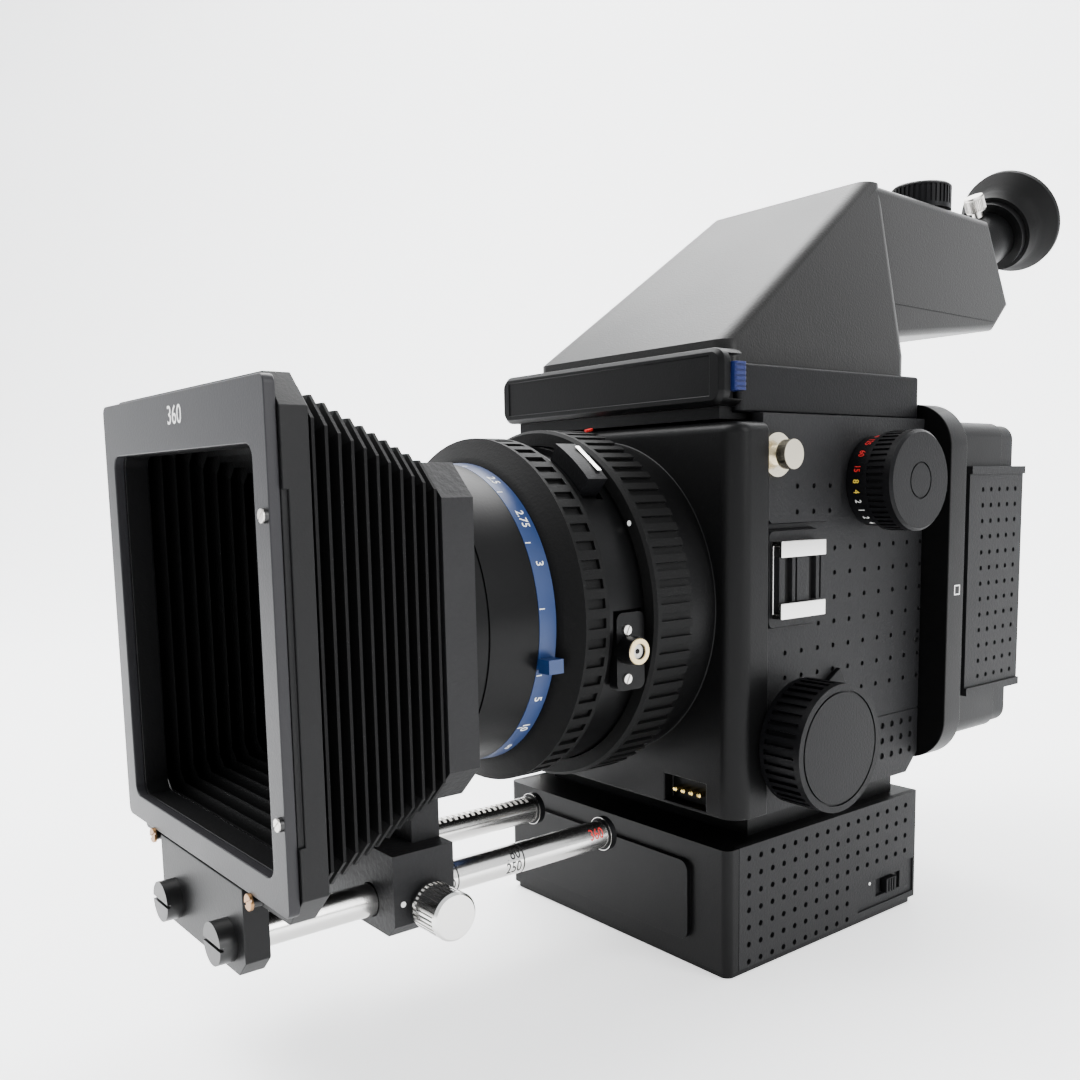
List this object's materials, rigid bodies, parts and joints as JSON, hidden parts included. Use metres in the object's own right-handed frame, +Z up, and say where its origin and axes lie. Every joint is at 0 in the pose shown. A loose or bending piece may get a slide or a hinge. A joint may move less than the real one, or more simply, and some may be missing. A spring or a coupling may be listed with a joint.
{
  "type": "view camera",
  "caption": "Medium-format reflex camera with bellows focusing, a bellows lens hood on rails, a prism finder, a revolving roll-film back and a power winder.",
  "frame": {"origin": "centre of the tripod socket's mouth in the underside of the power winder", "axes": "+Z up, +Y towards the eyepiece, lens towards -Y, +X towards the side with the shutter speed dial"},
  "size_m": [0.1348, 0.3702, 0.2625],
  "materials": {
    "grey_plastic": "matt, fine texture",
    "black_plastic": "matt",
    "black_metal": "satin black",
    "grey_metal": "satin grey",
    "steel": "polished",
    "brass": "satin",
    "blue_ring": "satin",
    "bellows": "matt",
    "rubber": "matt",
    "optical_glass": "polished",
    "mirror_silver": "polished",
    "spool_plastic": "gloss"
  },
  "bodies": {
    "camera_body": {"winder_shell": "grey_plastic", "winder_base": "grey_plastic", "winder_covers": "grey_plastic", "tripod_socket": "steel", "battery_cells": "spool_plastic", "winder_motor": "steel", "body_shell": "grey_plastic", "side_panel_left": "grey_plastic", "side_panel_right": "grey_plastic", "name_plate": "black_metal", "accessory_shoe": "steel", "strap_studs": "steel", "focusing_screen": "optical_glass", "focusing_bellows": "bellows", "prism_base": "grey_plastic", "prism_housing": "grey_plastic", "prism_glass": "optical_glass", "eyepiece_tube": "black_metal"},
    "drive_coupler": {"drive_coupler": "steel"},
    "power_switch": {"power_switch": "black_plastic"},
    "battery_door": {"battery_door": "grey_plastic"},
    "finder_slider": {"finder_slider": "blue_ring"},
    "mirror": {"reflex_mirror": "mirror_silver"},
    "focus_drive": {"focus_shaft": "steel", "focus_knobs": "black_plastic"},
    "focus_lock": {"focus_lock_lever": "black_plastic"},
    "front_standard": {"front_standard": "grey_plastic", "focus_racks": "steel", "lens_rear_barrel": "black_metal", "lens_front_barrel": "black_metal", "lens_glass": "optical_glass", "shutter_unit": "black_plastic", "sync_socket": "brass", "hood_rear_frame": "black_metal", "hood_bellows": "bellows"},
    "bayonet_ring": {"bayonet_ring": "black_plastic"},
    "aperture_ring": {"aperture_ring": "black_plastic"},
    "distance_ring": {"distance_ring": "blue_ring"},
    "lens_lever": {"lens_lever": "black_plastic"},
    "hood_front": {"hood_front_frame": "grey_metal", "hood_filter_plate": "grey_metal", "hood_rails": "steel", "hood_screws": "brass"},
    "clamp_knob": {"clamp_knob": "steel"},
    "shutter_dial": {"shutter_dial": "black_plastic"},
    "cocking_lever": {"cocking_lever": "black_plastic"},
    "release_button": {"release_button": "steel"},
    "release_collar": {"release_collar": "black_plastic"},
    "film_back": {"revolving_adapter": "grey_plastic", "film_back_shell": "grey_plastic"},
    "rear_door": {"rear_door": "grey_plastic", "pressure_plate": "black_plastic"},
    "dark_slide": {"dark_slide": "black_plastic"},
    "advance_lever": {"advance_lever": "black_plastic"},
    "takeup_spool": {"takeup_spool": "spool_plastic"},
    "supply_spool": {"supply_spool": "spool_plastic"},
    "finder_dial": {"finder_dial": "black_plastic"},
    "eyecup": {"eyecup": "rubber"},
    "eyepiece_lock_knob": {"eyepiece_lock_knob": "steel"}
  },
  "joints": [
    {"name": "coupler_turn", "type": "hinge", "parent": "camera_body", "child": "drive_coupler", "pos_m": [0, -0.002, 0.034], "axis": [0, 0, 1], "continuous": true},
    {"name": "power_slide", "type": "slide", "parent": "camera_body", "child": "power_switch", "axis": [0, 1, 0], "range_m": [-0.003, 0.003]},
    {"name": "battery_door_swing", "type": "hinge", "parent": "camera_body", "child": "battery_door", "pos_m": [-0.0492, 0.0576, 0.02], "axis": [0, 0, -1], "range_deg": [0, 90]},
    {"name": "finder_slider_move", "type": "slide", "parent": "camera_body", "child": "finder_slider", "axis": [0, 0, 1], "range_m": [-0.002, 0.002]},
    {"name": "mirror_swing", "type": "hinge", "parent": "camera_body", "child": "mirror", "pos_m": [0, 0.05, 0.1415], "axis": [-1, 0, 0], "range_deg": [0, 45]},
    {"name": "focus_slide", "type": "slide", "parent": "camera_body", "child": "front_standard", "axis": [0, -1, 0], "range_m": [0, 0.046], "deforming": ["focusing_bellows"]},
    {"name": "focus_turn", "type": "hinge", "parent": "camera_body", "child": "focus_drive", "pos_m": [0, -0.0088, 0.0655], "axis": [-1, 0, 0], "range_deg": [0, 377]},
    {"name": "focus_lock_turn", "type": "hinge", "parent": "camera_body", "child": "focus_lock", "pos_m": [0.049, -0.0088, 0.0655], "axis": [1, 0, 0], "range_deg": [0, 25]},
    {"name": "bayonet_turn", "type": "hinge", "parent": "front_standard", "child": "bayonet_ring", "pos_m": [0, -0.055, 0.1045], "axis": [0, 1, 0], "range_deg": [0, 30]},
    {"name": "aperture_turn", "type": "hinge", "parent": "front_standard", "child": "aperture_ring", "pos_m": [0, -0.078, 0.1045], "axis": [0, 1, 0], "range_deg": [-40, 40]},
    {"name": "distance_turn", "type": "hinge", "parent": "front_standard", "child": "distance_ring", "pos_m": [0, -0.088, 0.1045], "axis": [0, 1, 0], "range_deg": [-60, 60]},
    {"name": "lens_lever_turn", "type": "hinge", "parent": "front_standard", "child": "lens_lever", "pos_m": [0, -0.068, 0.1045], "axis": [0, -1, 0], "range_deg": [0, 20]},
    {"name": "hood_extend", "type": "slide", "parent": "front_standard", "child": "hood_front", "axis": [0, -1, 0], "range_m": [-0.004, 0.05], "deforming": ["hood_bellows"]},
    {"name": "clamp_turn", "type": "hinge", "parent": "front_standard", "child": "clamp_knob", "pos_m": [0.03, -0.1175, 0.0384], "axis": [1, 0, 0], "range_deg": [0, 360]},
    {"name": "shutter_dial_turn", "type": "hinge", "parent": "camera_body", "child": "shutter_dial", "pos_m": [0.055, 0.0313, 0.1379], "axis": [1, 0, 0], "range_deg": [-150, 150]},
    {"name": "cocking_turn", "type": "hinge", "parent": "camera_body", "child": "cocking_lever", "pos_m": [-0.052, 0.012, 0.112], "axis": [1, 0, 0], "range_deg": [0, 60], "stiffness_Nm_per_rad": 0.02, "springref_deg": -34.38},
    {"name": "release_press", "type": "slide", "parent": "camera_body", "child": "release_button", "axis": [0, 1, 0], "range_m": [0, 0.0025], "stiffness_N_per_m": 400, "springref_m": -0.002},
    {"name": "release_collar_turn", "type": "hinge", "parent": "camera_body", "child": "release_collar", "pos_m": [-0.0532, -0.017, 0.0428], "axis": [0, 1, 0], "range_deg": [0, 90]},
    {"name": "adapter_turn", "type": "hinge", "parent": "camera_body", "child": "film_back", "pos_m": [0, 0.062, 0.1045], "axis": [0, -1, 0], "range_deg": [0, 90]},
    {"name": "rear_door_swing", "type": "hinge", "parent": "film_back", "child": "rear_door", "pos_m": [-0.0523, 0.1059, 0.1045], "axis": [0, 0, 1], "range_deg": [0, 100]},
    {"name": "dark_slide_pull", "type": "slide", "parent": "film_back", "child": "dark_slide", "axis": [-1, 0, 0], "range_m": [0, 0.085]},
    {"name": "advance_turn", "type": "hinge", "parent": "film_back", "child": "advance_lever", "pos_m": [-0.054, 0.084, 0.143], "axis": [1, 0, 0], "range_deg": [0, 180]},
    {"name": "takeup_turn", "type": "hinge", "parent": "film_back", "child": "takeup_spool", "pos_m": [0, 0.084, 0.143], "axis": [1, 0, 0], "range_deg": [0, 180]},
    {"name": "supply_turn", "type": "hinge", "parent": "film_back", "child": "supply_spool", "pos_m": [0, 0.084, 0.066], "axis": [1, 0, 0], "range_deg": [0, 180]},
    {"name": "finder_dial_turn", "type": "hinge", "parent": "camera_body", "child": "finder_dial", "pos_m": [0.02, 0.097, 0.234], "axis": [0, 0, 1], "range_deg": [-150, 150]},
    {"name": "eyecup_turn", "type": "hinge", "parent": "camera_body", "child": "eyecup", "pos_m": [0, 0.18016, 0.23719], "axis": [0, 0.878, 0.4787], "range_deg": [-60, 60]},
    {"name": "eyepiece_lock_turn", "type": "hinge", "parent": "camera_body", "child": "eyepiece_lock_knob", "pos_m": [0, 0.1682, 0.24241], "axis": [0, -0.4787, 0.878], "range_deg": [0, 360]}
  ],
  "couplings": [
    {"joint": "focus_turn", "follows": "focus_slide", "rad_per_m": 142.86},
    {"joint": "advance_turn", "follows": "takeup_turn", "ratio": 1},
    {"joint": "supply_turn", "follows": "takeup_turn", "ratio": 1}
  ]
}
